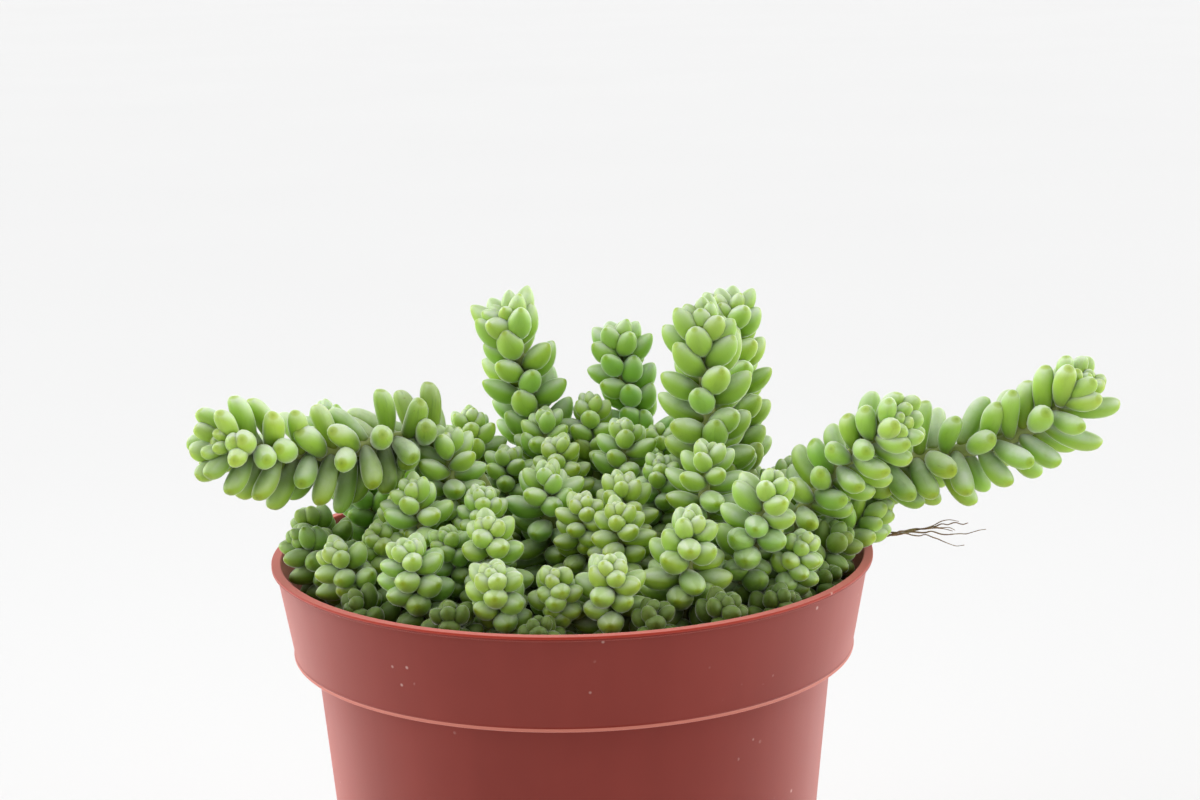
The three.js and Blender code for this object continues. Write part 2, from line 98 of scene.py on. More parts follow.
# Stems
STEM_RADIUS = 1.5
STEM_TIP_RADIUS = 0.6
STEM_TAPER = 8  # the length at a stem's top over which it gets thin
STEM_SIDES = 10
STEM_STEP = 2.0
STEM_LEAST_RINGS = 8
STEM_TEST_STEP = 2.5  # between the balls that keep leaves off the stems
ROOTED_DEPTH = 8
WOODY_HEIGHT = 30  # up its line, where a stem has turned from brown to green
KNEE_HEIGHT = 0.55  # where a short stem bends, of its height
KNEE_LEAN = 0.3  # share of its lean that it has there
TURN_STEP = 77  # degrees from one short stem's first leaf to the next one's

# How leaves follow each other down a stem. Reaches are in full leaves' lengths
FIRST_LEAF = 0.05
LEAF_PITCH = 0.093  # along a short stem, from one full leaf to the next, of its length
BUD_DROP = 0.2  # how far below its line's end a stem has its topmost leaf
BUD_SIZE = 0.45  # of a short stem's topmost leaf, of a full leaf
BUD_WIDTH = 0.3  # what the smallest bud keeps of a full leaf's width
BUD_TILT = 20  # degrees between the topmost leaf and its stem
FULL_TILT = 74
OLD_TILT = 14  # how much further the oldest leaves open
CROWN_REACH = 0.35  # how far down leaves stand closer to each other
SIZE_REACH = 0.32
TILT_REACH = 0.36
OLD_REACH = 2.8  # where the leaves of a short stem are old
MOST_LEAFY = 0.93  # of a short stem's height
# How far a leaf strays from that: in radians, in degrees, and as shares
TURN_SPREAD = 0.22
TILT_SPREAD = 10
LENGTH_SPREAD = 0.12
WIDTH_SPREAD = 0.07
CURL_SPREAD = 0.6

# A leaf's form. Shares are of its length unless a line says otherwise
LEAF_WIDTH_BASE = 2.8
LEAF_WIDTH_SHARE = 0.27  # what its length adds to its width
INNER_SLIM = 0.89  # how much slimmer the leaves away from the rim are
LEAF_THICKNESS = 0.95  # of its width
UPPER_THICKNESS = 0.86  # of that, over its middle line
LOWER_THICKNESS = 1.06
FLANK_ROUNDNESS = 0.12
LEAF_CURL = 0.12  # how far the tip bends up
LEAF_ROOT = 0.06  # where it starts, from the stem's middle
DROOP = 0.16  # how much its own weight bends it down
SWAY = 0.05  # how far its tip bends sideways
ROLL = 0.18  # how far it turns about itself, in radians
FULLEST = 0.57  # where it is widest
ROOT_FULLNESS = 0.4  # of its full width, at its root
TIP_ROUNDNESS = 0.54
TIP_FALL = 2
LEAF_RINGS = (0.0, 0.08, 0.18, 0.3, 0.43, 0.56, 0.67, 0.77, 0.85, 0.91, 0.955, 0.982)
LEAF_SIDES = 14
SHORT_BLUNT = -0.4  # bluntness of the leaves on short stems
# What a bluntness of 1 changes in those values
BLUNT_ROOT = 0.1
BLUNT_FULLEST = 0.07
BLUNT_RISE = 0.15
BLUNT_FALL = 0.35
BLUNT_TIP = 0.12

# What a leaf does where it is crowded: folds up its stem, then stays shorter
FOLDS = (0, 12, 24, 36, -10)
SHORTER = (1.0, 0.86, 0.7)
SLIMMER = 0.6  # how much of that shortening its width takes part in
TEST_SHARES = (0.4, 0.57, 0.74, 0.9)  # where along it a ball stands for it
TEST_RADIUS = 0.95  # of such a ball, of the leaf's half width there
TEST_NEAR = 14  # how far away other balls still count
PRESS_OTHERS = 0.2  # how deep leaves of two stems press into each other, of the thinner one's width
PRESS_OWN = 0.58
PRESS_SOIL = 1.5

# What a leaf's colour goes by
OWN_TINT = 0.6  # what the leaf itself, and not its stem, has in its tint
# Painted shade: leaves low in the crowd, hanging leaves and whole shaded stems are painted darker
PAINTED_SHADE_HEIGHT = 13  # over the soil, where leaves start to get painted shade for the dark of the crowd
PAINTED_SHADE_FADE = 9  # the way down from there over which the painted shade darkens
DARKEST_PAINTED_SHADE = 0.8
HANGING_SHADE_RATE = 1.6  # how fast hanging leaves get painted shade with their slope
SHADE_AGES = 0.8  # how old a stem's leaves look at least, of its painted shade: shade also painted as olive age
LOW_SHADE = 0.88  # how much painted shade the lowest stems' leaves get
# How yellow a stem's leaves are, where the photo shows it, from below 0 (cool) to over 1 (yellow)
TINTS = {
    "stem_front_4": 0.1, "stem_front_5": 0.2, "stem_left_rear": -0.8, "stem_middle_3": 1.9,
    "stem_middle_4": 1.8, "stem_middle_9": 1.5, "stem_middle_11": 1.9,
    "stem_tall_back_left": 0.3, "stem_tall_back_middle": -0.4,
}
# Painted shade: how dark the crowd makes a whole stem
SHADED = {
    "stem_front_6": 0.2, "stem_front_7": 0.15, "stem_left_1": 0.45, "stem_left_2": 0.35,
    "stem_left_3": 0.5, "stem_left_4": 0.3, "stem_middle_12": 0.3, "stem_middle_14": 0.3,
    "stem_right_2": 0.6, "stem_tall_right": 0.12, "stem_tall_right_rear": 0.05,
}

# Each long stem. route: where it leaves the soil and what it passes on its way to the tip, as x, y
# and height over the soil. leaf and width: a full leaf's size. pitch: from one leaf to the next.
# bud and crown: the topmost leaf's size and the pitch there, as shares. blunt: the leaves' form.
# ages: after how many leaves' lengths they are old. leafy: the length that bears leaves. turn:
# where the first leaf points. open: the degrees between a full leaf and the stem. under: how much
# painted shade its hanging leaves get. drop, size_reach, tilt_reach and bud_tilt: its own, not
# the common ones
STEMS = [
    dict(
        name="stem_left_arm", leaf=11.2, width=4.7, pitch=0.87, bud=0.35, crown=0.18, drop=0.36,
        size_reach=0.13, tilt_reach=0.55, blunt=1.0, ages=6, under=0.4, leafy=52, turn=40, open=70,
        route=[
            (-12, 8, 0), (-15, 9, 18), (-20, 8, 30), (-28, 3, 37), (-36, -5, 39),
            (-44, -10, 38), (-53, -14, 38.5), (-61, -19.5, 41), (-66.3, -27.5, 44.3),
        ],
    ),
    dict(
        name="stem_right_arm_far", leaf=11.2, width=4.75, pitch=1.02, bud=0.4, crown=0.18,
        drop=0.43, size_reach=0.16, tilt_reach=0.55, blunt=1.0, ages=8, leafy=74, turn=200,
        open=72,
        route=[
            (38, 7, 0), (44, 6, 14), (54, 3, 25), (65, 0, 31), (74, -1, 33), (83, -3, 35),
            (90, -4, 38), (96, -6, 43), (101.3, -9, 50.6),
        ],
    ),
    dict(
        name="stem_right_arm_near", leaf=9.6, width=4.5, pitch=0.9, bud=0.42, crown=0.2, drop=0.34,
        size_reach=0.13, tilt_reach=0.55, blunt=0.9, ages=9, leafy=52, turn=120, open=68,
        route=[
            (38, -4, 0), (40, -5, 12), (45, -8, 23), (51, -10, 31), (56, -13, 37),
            (60.5, -17, 41.5), (63.5, -21, 44.5),
        ],
    ),
    dict(
        name="stem_tall_right", leaf=10.4, width=5.5, pitch=0.93, bud=0.5, crown=0.32, drop=0.33,
        size_reach=0.2, tilt_reach=0.8, blunt=-0.35, ages=5, leafy=60, turn=235, open=58,
        route=[(30, 4, 0), (29, 3, 20), (28, 2, 37), (27.2, 2, 51), (27, 0, 62.4)],
    ),
    dict(
        name="stem_tall_back_left", leaf=10.4, width=5.4, pitch=1.0, bud=0.45, crown=0.2, drop=0.2,
        bud_tilt=38, size_reach=0.12, tilt_reach=0.5, blunt=-0.7, ages=14, leafy=58, turn=60,
        open=52,
        route=[(-3, 28, 0), (-4.5, 28, 22), (-8, 27, 38), (-10, 26, 47), (-12.8, 24, 59.4)],
    ),
    dict(
        name="stem_tall_back_middle", leaf=8.8, width=5.0, pitch=0.94, bud=0.45, crown=0.22,
        bud_tilt=38, size_reach=0.12, blunt=-0.7, ages=14, leafy=52, turn=320, open=48,
        route=[(18, 30, 0), (16, 31.5, 24), (13, 31, 39), (11, 30, 46), (10.3, 29, 53.4)],
    ),
    dict(
        name="stem_tall_right_rear", leaf=9.4, width=5.0, pitch=0.95, bud=0.5, crown=0.3, drop=0.2,
        bud_tilt=32, size_reach=0.15, blunt=-0.4, ages=6, leafy=56, turn=100, open=52,
        route=[(37, 22, 0), (35, 24, 24), (34, 24, 42), (33.5, 23, 60)],
    ),
    dict(
        name="stem_left_rear", leaf=8.4, width=4.4, pitch=0.74, bud=0.5, crown=0.4, blunt=-0.2,
        ages=6, leafy=40, turn=10, open=54,
        route=[(-37, 15, 0), (-40, 15.5, 18), (-46, 16, 31), (-51, 16, 40)],
    ),
    dict(
        name="stem_right_edge", leaf=7.6, width=4.2, pitch=0.6, bud=0.7, crown=0.6, blunt=0.4,
        ages=3, leafy=26, turn=80, open=66,
        route=[(46, -3, 0), (49, -3, 10), (55, -2, 18), (61, -3, 21.5)],
    ),
]

# The short stems, each a name, where it leaves the soil, its tip, and a full leaf's length
SHORT_STEMS = [
    ("stem_front_1", (7, -38), (7, -44, 23.5), 7.6),
    ("stem_front_2", (20, -31), (22.3, -37, 29.5), 8.8),
    ("stem_front_3", (-13, -38), (-14.5, -44, 22.8), 7.2),
    ("stem_front_4", (-28, -29), (-31, -34.5, 25), 7.4),
    ("stem_front_5", (31.5, -25.5), (37.8, -31, 35.4), 8.4),
    ("stem_front_6", (-38, -20), (-45.5, -24, 22), 7.6),
    ("stem_front_7", (-3, -38), (-3, -43.5, 22), 5.8),
    ("stem_front_8", (-15, -25), (-15.7, -30.5, 28.5), 7.4),
    ("stem_middle_1", (-4, -6), (-5, -9.5, 33), 9.2),
    ("stem_middle_2", (25, -8), (27, -10.5, 36.5), 9.4),
    ("stem_middle_3", (9, -20), (9, -24, 29), 7.2),
    ("stem_middle_4", (10, -8), (10, -11, 31), 7.4),
    ("stem_middle_5", (-23, 1), (-24.5, -1, 38), 9),
    ("stem_middle_6", (-27, -12), (-31, -15.5, 32), 8),
    ("stem_middle_7", (-17, -12), (-17.2, -16.5, 30.5), 6.4),
    ("stem_middle_8", (11, 11), (11, 9.5, 37.5), 8),
    ("stem_middle_9", (-2, 9), (-2.5, 8, 35), 6.8),
    ("stem_middle_10", (18, 0), (17.6, -1.5, 33), 5.8),
    ("stem_middle_11", (2, -15), (2.2, -18.5, 29.5), 6),
    ("stem_middle_12", (-21, -21), (-24, -25, 25), 6),
    ("stem_middle_13", (-13, 16.5), (-13, 14, 31.5), 7.4),
    ("stem_middle_14", (21, -19), (22, -21, 24), 6.6),
    ("stem_left_1", (-42, -9), (-54, -11, 21.5), 7.6),
    ("stem_left_2", (-34, -13), (-38, -18, 24), 5.4),
    ("stem_left_3", (-44, 4), (-54, 3, 22), 7.4),
    ("stem_left_4", (-32, 4), (-35, 4, 24), 7.4),
    ("stem_right_1", (38.5, -24.5), (44, -29.5, 24), 5.6),
    ("stem_right_2", (43, -11), (53.5, -13, 20.5), 6.8),
    ("stem_right_3", (45, 9.5), (51, 13, 19), 7),
    ("stem_back_1", (-19, 21), (-21, 20.5, 38), 8),
    ("stem_back_2", (5, 21), (4.7, 24, 40), 7.6),
    ("stem_back_3", (-6, 19), (-5, 19, 38), 7.6),
    ("stem_back_4", (20, 16), (18, 16.5, 35), 6.2),
    ("stem_back_5", (42.5, 18), (46, 22, 26), 6.8),
    ("stem_back_6", (-29, 28), (-32, 32, 27), 7.8),
    ("stem_back_7", (-15, 38), (-16, 43, 25), 7.6),
    ("stem_back_8", (2, 39), (2, 45, 23), 7.4),
    ("stem_back_9", (26, 35), (29, 42, 24), 7.6),
    ("stem_back_10", (14, 42), (15, 47, 19), 6.4),
    ("stem_back_11", (-38, 26), (-43, 28, 19), 6.6),
    ("stem_low_1", (-36, -28), (-41, -32, 14), 7),
    ("stem_low_2", (-21, -40), (-23, -44, 16), 6.2),
    ("stem_low_3", (-6, -46), (-6.5, -48, 14), 5.6),
    ("stem_low_4", (14, -43), (15, -46, 16), 5.8),
    ("stem_low_5", (25, -38.5), (28.5, -43.5, 16), 6.4),
    ("stem_low_6", (33.5, -32), (40, -36, 15), 5.6),
    ("stem_low_7", (42.5, -18.5), (50, -21.5, 14.5), 5.8),
]

# Aerial roots: each strand's route, its radius at the start and at its end
ROOT_STRANDS = [
    ([(56.8, -0.3, 16.8), (62, 1.2, 15.8), (68, 1.4, 16.7), (74.5, 0.8, 18.0), (79.8, 0, 18.4)],
     0.3, 0.09),
    ([(56.8, -0.2, 16.6), (62, 1.6, 15.6), (68, 1.2, 16.4), (72, 0.2, 16.6), (77.5, -1, 16.3),
      (83, -2, 17.6)], 0.26, 0.07),
    ([(58, 0.9, 16.2), (64, 1.7, 15.9), (71.8, 0, 16.0), (74.2, -0.6, 14.7), (78.6, -1.5, 14.0)],
     0.22, 0.07),
    ([(60, 1.6, 15.5), (66, 1.9, 16.6), (70.5, 1.5, 17.1), (74, 1, 17.1), (76.5, 0.5, 16.8)],
     0.2, 0.07),
    ([(70, 1.2, 17.0), (73, 0.9, 17.9), (75.6, 0.4, 18.9), (77.6, 0, 18.9)], 0.16, 0.06),
    ([(72.8, 0.6, 17.5), (75.4, 1.4, 17.1), (77.4, 1.2, 16.6)], 0.14, 0.06),
]
ROOT_WAVE = 0.24  # how far a strand strays at each kink
ROOT_KINK = 1.3  # from one kink to the next
ROOT_STEP = 0.5
ROOT_UNEVEN = 0.18
ROOT_SIDES = 8

# Leaf colours
# Greens from root to tip: the paler band short of the tip is partly the leaf's own colour and
# partly a painted pale rim standing in for sheen seen end-on
LEAF_GREENS = [
    (0.0, (0.26, 0.35, 0.022)), (0.3, (0.25, 0.45, 0.028)), (0.62, (0.31, 0.535, 0.045)),
    (0.88, (0.37, 0.60, 0.08)), (0.965, (0.38, 0.59, 0.055)), (0.99, (0.34, 0.49, 0.02)),
    (1.0, (0.24, 0.37, 0.012)),
]
COOLER = (0.84, 1.0, 1.25)
WARMER = (1.2, 1.03, 0.62)
YOUNG = (0.42, 0.57, 0.12)
OLD = (0.10, 0.165, 0.008)
MIDRIB = (0.19, 0.32, 0.03)
WRINKLE = (0.10, 0.18, 0.025)
# Wax bloom and painted highlight: pale colour laid mostly on faces turned up
BLOOM_AND_HIGHLIGHT = (0.66, 0.74, 0.62)
SPECK = (0.20, 0.13, 0.045)
# Painted shade: the dark green laid on leaves in the crowd's dark
PAINTED_SHADE_GREEN = (0.036, 0.06, 0.009)
STEM_GREEN = (0.36, 0.42, 0.13)
STEM_BROWN = (0.10, 0.08, 0.035)

# Pot, soil, root and floor colours
POT_DARK = (0.165, 0.011, 0.004)
POT_LIGHT = (0.195, 0.016, 0.008)
POT_CLOUD = (0.24, 0.03, 0.019)
# Painted light: the lip's top, lighter and redder than the body
LIP_PAINTED_LIGHT = (0.36, 0.024, 0.007)
# Painted highlight: a pale line along the moulded bead
BEAD_PAINTED_HIGHLIGHT = (0.72, 0.26, 0.19)
POT_DUST = (0.8, 0.62, 0.56)
SOIL_BITS = [
    (0.0, (0.010, 0.007, 0.005)), (0.55, (0.028, 0.018, 0.011)), (0.85, (0.06, 0.038, 0.02)),
    (0.97, (0.13, 0.085, 0.045)), (1.0, (0.2, 0.16, 0.11)),
]
ROOT_BROWNS = [(0.3, (0.12, 0.06, 0.028)), (0.5, (0.25, 0.15, 0.075)), (0.72, (0.42, 0.33, 0.21))]
FLOOR_GREYS = (0.81, 0.81, 0.81), (0.83, 0.83, 0.83)

# Studio: the world's light by direction, each with the span over which it rises or falls
WIDE_FLOOR = 30.0
FRONT_LIGHT = 0.22
BACK_LIGHT, BACK_SPAN = 0.7, (-0.6, 0.5)
TOP_LIGHT, TOP_SPAN = 0.31, (0.2, 0.9)  # what the sky overhead adds
BAND_LIGHT, BAND_SPAN = 1.5, (0.0, 0.45)  # what a low bright band round the back adds
FLANK_LIGHT, FLANK_SPAN = 2.9, (0.4, 0.95)  # what the white walls at both sides add
WALL_SPAN = (0.2, 0.85)  # how high those walls reach
KEY_PLACE = (-0.14, -0.1, 0.6)
KEY_TARGET = (0.01, 0, 0.12)
KEY_SIZE = 0.35
KEY_POWER = 0.5

# The photograph's camera, in metres and radians
CAMERA_PLACE = (0, -0.46598, 0.23183)
CAMERA_YAW, CAMERA_PITCH, CAMERA_ROLL = 0.01304, 0.20445, -0.01823
CAMERA_SENSOR = 36
CAMERA_LENS = 72
CAMERA_CLIP = (0.01, 100)


def noise_about(rng, spread, size=None):
    """A random number from -spread to spread, or an array of them."""
    return spread * (2 * rng.random(size) - 1)


# Lines


def spline(points, per_span=24):
    """A smooth line through the points, as many points."""
    p = np.array(points, float)
    p = np.vstack([2 * p[0] - p[1], p, 2 * p[-1] - p[-2]])
    t = np.linspace(0, 1, per_span, endpoint=False)[:, None]
    spans = []
    for a, b, c, d in zip(p[:-3], p[1:-2], p[2:-1], p[3:]):
        spans.append(0.5 * (2 * b + (c - a) * t + (2 * a - 5 * b + 4 * c - d) * t**2
                            + (3 * b - 3 * c + d - a) * t**3))
    return np.vstack([*spans, p[-2:-1]])


def unit(v):
    return v / np.linalg.norm(v, axis=-1, keepdims=True)


class Line:
    """A smooth line measured along its length, with side directions that don't twist."""

    def __init__(self, points):
        self.points = spline(points)
        steps = np.linalg.norm(np.diff(self.points, axis=0), axis=1)
        self.reach = np.concatenate([[0], np.cumsum(steps)])
        self.length = self.reach[-1]
        self.along = unit(np.gradient(self.points, axis=0))
        sides = []
        side = np.array([0.0, 1.0, 0.0])
        for along in self.along:
            side = unit(side - side.dot(along) * along)
            sides.append(side)
        self.side = np.array(sides)

    def sampled(self, values, height):
        return np.array([np.interp(height, self.reach, values[:, i]) for i in range(3)])

    def place(self, height):
        """The point at a height along the line, the line's direction, and two across it."""
        along = unit(self.sampled(self.along, height))
        side = self.sampled(self.side, height)
        side = unit(side - side.dot(along) * along)
        return self.sampled(self.points, height), along, side, np.cross(along, side)


def over_soil(route):
    return [(x, y, SOIL_TOP + height) for x, y, height in route]


# Meshes


class Builder:
    """Collects the points, faces and per-point values of one mesh, in millimetres."""

    def __init__(self):
        self.points = []
        self.faces = []
        self.values = {}
        self.count = 0

    def add(self, points, faces, **values):
        self.points.append(points)
        self.faces.extend(tuple(corner + self.count for corner in face) for face in faces)
        for name, value in values.items():
            self.values.setdefault(name, []).append(np.broadcast_to(value, len(points)))
        self.count += len(points)

    def finished(self, name, material, smooth=True):
        mesh = bpy.data.meshes.new(name)
        mesh.from_pydata((np.vstack(self.points) * MM).tolist(), [], self.faces)
        mesh.polygons.foreach_set("use_smooth", [smooth] * len(mesh.polygons))
        for key, parts in self.values.items():
            attribute = mesh.attributes.new(key, "FLOAT", "POINT")
            attribute.data.foreach_set("value", np.concatenate(parts).astype(np.float32))
        mesh.materials.append(material)
        mesh.update()
        piece = bpy.data.objects.new(name, mesh)
        bpy.context.scene.collection.objects.link(piece)
        return piece


def tube_faces(rings, sides, pointed):
    """Faces of a tube of rings, flat at its start, and at its end flat or with a last point."""
    faces = [tuple(reversed(range(sides)))]
    for r in range(rings - 1):
        for s in range(sides):
            n = (s + 1) % sides
            faces.append((r * sides + s, r * sides + n, (r + 1) * sides + n, (r + 1) * sides + s))
    last = (rings - 1) * sides
    if pointed:
        faces.extend((last + s, last + (s + 1) % sides, rings * sides) for s in range(sides))
    else:
        faces.append(tuple(range(last, last + sides)))
    return faces


def tube(line, heights, radii, sides):
    """Points of a round tube along a line, with a ring of its own radius at each height."""
    turns = np.linspace(0, 2 * math.pi, sides, endpoint=False)
    points = []
    for radius, height in zip(radii, heights):
        at, _, side, across = line.place(height)
        ring = np.cos(turns)[:, None] * side + np.sin(turns)[:, None] * across
        points.append(at + radius * ring)
    return np.vstack(points)


# Stems and leaves


def short_stem(name, foot, tip, leaf, index):
    """A short stem's row of values, as the long ones have, with a bend on its way up."""
    (x, y), (tip_x, tip_y, height) = foot, tip
    knee = (x + KNEE_LEAN * (tip_x - x), y + KNEE_LEAN * (tip_y - y), KNEE_HEIGHT * height)
    slim = INNER_SLIM if name.startswith(("stem_middle", "stem_back")) else 1.0
    width = slim * (LEAF_WIDTH_BASE + LEAF_WIDTH_SHARE * leaf)
    return dict(
        name=name, leaf=leaf, width=width, pitch=slim * LEAF_PITCH * leaf, bud=BUD_SIZE,
        crown=BUD_SIZE, blunt=SHORT_BLUNT, ages=OLD_REACH, leafy=MOST_LEAFY * height,
        turn=TURN_STEP * index, open=FULL_TILT, route=[(x, y, 0), knee, tip],
    )


def stem_top(stem, line):
    """How far up its line a stem's topmost leaf stands."""
    return line.length - stem.get("drop", BUD_DROP) * stem["leaf"]


def leaf_plan(stem, line, rng):
    """The leaves of a stem from its tip down, with each one's place, direction and size."""
    full, plan = stem["leaf"], []
    top = stem_top(stem, line)
    down = FIRST_LEAF
    while down < stem["leafy"]:
        small = math.exp(-down / (stem.get("size_reach", SIZE_REACH) * full))
        size = 1 - (1 - stem["bud"]) * small
        old = min(1.0, down / (stem["ages"] * full))
        opened = 1 - math.exp(-down / (stem.get("tilt_reach", TILT_REACH) * full))
        bud_tilt = stem.get("bud_tilt", BUD_TILT)
        tilt = bud_tilt + (stem["open"] - bud_tilt) * opened + OLD_TILT * old
        turn = math.radians(stem["turn"]) + len(plan) * GOLDEN_ANGLE
        width = stem["width"] * (BUD_WIDTH + (1 - BUD_WIDTH) * size)
        plan.append(dict(
            height=top - down,
            turn=turn + noise_about(rng, TURN_SPREAD),
            tilt=tilt + noise_about(rng, TILT_SPREAD),
            length=full * size * (1 + noise_about(rng, LENGTH_SPREAD)),
            width=width * (1 + noise_about(rng, WIDTH_SPREAD)),
            blunt=stem["blunt"],
            under=stem.get("under", 0.0),
            curl=LEAF_CURL * (1 + noise_about(rng, CURL_SPREAD)),
            sway=noise_about(rng, SWAY),
            roll=noise_about(rng, ROLL),
            old=old,
            young=1 - opened,
            tint=rng.random(),
        ))
        crowded = 1 - (1 - stem["crown"]) * math.exp(-down / (CROWN_REACH * full))
        down += stem["pitch"] * crowded
    return plan


def leaf_axes(line, leaf):
    """A leaf's foot, and its directions ahead, over (towards the stem's tip) and beside."""
    at, along, side, across = line.place(leaf["height"])
    out = math.cos(leaf["turn"]) * side + math.sin(leaf["turn"]) * across
    tilt = math.radians(leaf["tilt"])
    ahead = math.cos(tilt) * along + math.sin(tilt) * out
    weight = DROOP * (1 - leaf["young"])
    ahead = unit(ahead - weight * np.array([0, 0, 1.0]))
    over = unit(along - along.dot(ahead) * ahead)
    over = math.cos(leaf["roll"]) * over + math.sin(leaf["roll"]) * np.cross(ahead, over)
    return at, ahead, over, np.cross(ahead, over)


def fullness(share, blunt):
    """How full a leaf is at a share of its length: tapered to its root, and rounded to a faint
    point at its end. A blunt leaf of 1 is like a little sausage, one of -1 like an almond."""
    share = np.asarray(share, float)
    root = ROOT_FULLNESS + BLUNT_ROOT * blunt
    fullest = FULLEST + BLUNT_FULLEST * blunt
    rise = np.sin(math.pi / 2 * np.minimum(share / fullest, 1)) ** (1 - BLUNT_RISE * blunt)
    past = np.clip((share - fullest) / (1 - fullest), 0, 1)
    fall = (1 - past ** (TIP_FALL + BLUNT_FALL * blunt)) ** (TIP_ROUNDNESS - BLUNT_TIP * blunt)
    return (root + (1 - root) * rise) * fall


def leaf_middles(line, leaf, shares):
    """Points on the leaf's middle line at shares of its length, then its directions."""
    at, ahead, over, beside = leaf_axes(line, leaf)
    t = (LEAF_ROOT + (1 - LEAF_ROOT) * np.array(shares))[:, None]
    length = leaf["length"]
    bend = leaf["curl"] * over + leaf["sway"] * beside
    return at + t * length * ahead + length * t**2 * bend, over, beside


class Crowd:
    """What has been placed so far, as balls, for telling how hard a new leaf would press on it."""

    def __init__(self):
        self.centres = np.zeros((0, 3))
        self.radii = np.zeros(0)
        self.owners = np.zeros(0, int)

    def add(self, centres, radii, owner):
        self.centres = np.vstack([self.centres, centres])
        self.radii = np.concatenate([self.radii, radii])
        self.owners = np.concatenate([self.owners, np.full(len(radii), owner)])

    def takes(self, centres, radii, owner):
        near = np.linalg.norm(self.centres - centres.mean(0), axis=1) < TEST_NEAR
        if not near.any():
            return True
        gaps = np.linalg.norm(self.centres[near][None] - centres[:, None], axis=2)
        both = self.radii[near][None] + radii[:, None]
        smaller = np.minimum(self.radii[near][None], radii[:, None])
        allowed = np.where(self.owners[near] == owner, PRESS_OWN, PRESS_OTHERS)
        return bool(np.all(both - gaps <= allowed[None] * 2 * smaller))


def clears_pot(centres, radii):
    """Whether balls stay out of the soil and of the pot's wall."""
    out = np.linalg.norm(centres[:, :2], axis=1)
    bottom = centres[:, 2] - radii
    depth = np.clip((POT_HEIGHT - centres[:, 2]) / BAND_HEIGHT, 0, 1)
    inside = RIM_RADIUS - LIP_WIDTH - depth * (RIM_RADIUS - BAND_BOTTOM_RADIUS)
    over_lip = bottom > POT_HEIGHT
    beyond = out - radii > RIM_RADIUS
    within = (out + radii < inside) & (bottom > SOIL_TOP - PRESS_SOIL)
    return bool(np.all(over_lip | beyond | within))


def fitted(leaf, line, owner, crowd):
    """The leaf as it grows among the others: as planned, folded or shorter, or None where there
    is no room."""
    for share in SHORTER:
        for fold in FOLDS:
            tried = dict(
                leaf,
                length=leaf["length"] * share,
                width=leaf["width"] * (1 - SLIMMER + SLIMMER * share),
                tilt=max(BUD_TILT, leaf["tilt"] - fold),
            )
            centres, _, _ = leaf_middles(line, tried, TEST_SHARES)
            radii = tried["width"] / 2 * fullness(TEST_SHARES, leaf["blunt"]) * TEST_RADIUS
            if clears_pot(centres, radii) and crowd.takes(centres, radii, owner):
                crowd.add(centres, radii, owner)
                return tried
    return None


def leaf_turns():
    return np.linspace(0, 2 * math.pi, LEAF_SIDES, endpoint=False)


def leaf_points(line, leaf):
    """The points of a leaf: rings that are flatter on their upper side, and the small point at
    its end."""
    middles, over, beside = leaf_middles(line, leaf, [*LEAF_RINGS, 1.0])
    turns = leaf_turns()
    thick = LEAF_THICKNESS * np.where(np.sin(turns) > 0, UPPER_THICKNESS, LOWER_THICKNESS)
    thick = thick * np.abs(np.sin(turns)) ** FLANK_ROUNDNESS
    ring = -np.cos(turns)[:, None] * beside + (thick * np.sin(turns))[:, None] * over
    half = leaf["width"] / 2
    full = fullness(LEAF_RINGS, leaf["blunt"])
    rings = [middle + half * share * ring for middle, share in zip(middles, full)]
    return np.vstack([*rings, middles[-1:]])


def leaf_values(leaf, line, stem_tint, shade):
    """What the leaf's colour goes by at each of its points."""
    turns = np.tile(leaf_turns(), len(LEAF_RINGS))
    height = line.place(leaf["height"])[0][2] - SOIL_TOP
    hanging = max(0.0, -leaf_axes(line, leaf)[1][2])
    # painted shade: the most of the stem's shade, the hanging leaf's and the low leaf's
    under = leaf["under"] * min(1.0, HANGING_SHADE_RATE * hanging)
    deep = max(shade, under, min(DARKEST_PAINTED_SHADE, (PAINTED_SHADE_HEIGHT - height) / PAINTED_SHADE_FADE))
    tint = OWN_TINT * leaf["tint"] + (1 - OWN_TINT) * stem_tint
    return dict(
        along=np.append(np.repeat(LEAF_RINGS, LEAF_SIDES), 1.0),
        upper=np.append(np.sin(turns), 0.0),
        flank=np.append(np.cos(turns), 0.0),
        tint=min(1, max(0, tint)),
        # painted shade also makes the leaf look older: more olive, specked and lined
        old=max(SHADE_AGES * shade, leaf["old"]),
        young=leaf["young"] * (1 - deep),
        deep=deep,
        woody=0.0,
    )


def placed_leaves(stems, lines):
    """Each stem's leaves, placed rank by rank from the tips down, so that every head keeps its
    own."""
    crowd = Crowd()
    plans = [leaf_plan(stem, line, np.random.default_rng(i + 1))
             for i, (stem, line) in enumerate(zip(stems, lines))]
    kept = [[] for _ in stems]
    for i, line in enumerate(lines):
        heights = np.arange(0, stem_top(stems[i], line), STEM_TEST_STEP)
        centres = np.array([line.place(height)[0] for height in heights])
        crowd.add(centres, np.full(len(heights), STEM_RADIUS), i)
    for rank in range(max(len(plan) for plan in plans)):
        for i, plan in enumerate(plans):
            leaf = fitted(plan[rank], lines[i], i, crowd) if rank < len(plan) else None
            if leaf:
                kept[i].append(leaf)
    return kept


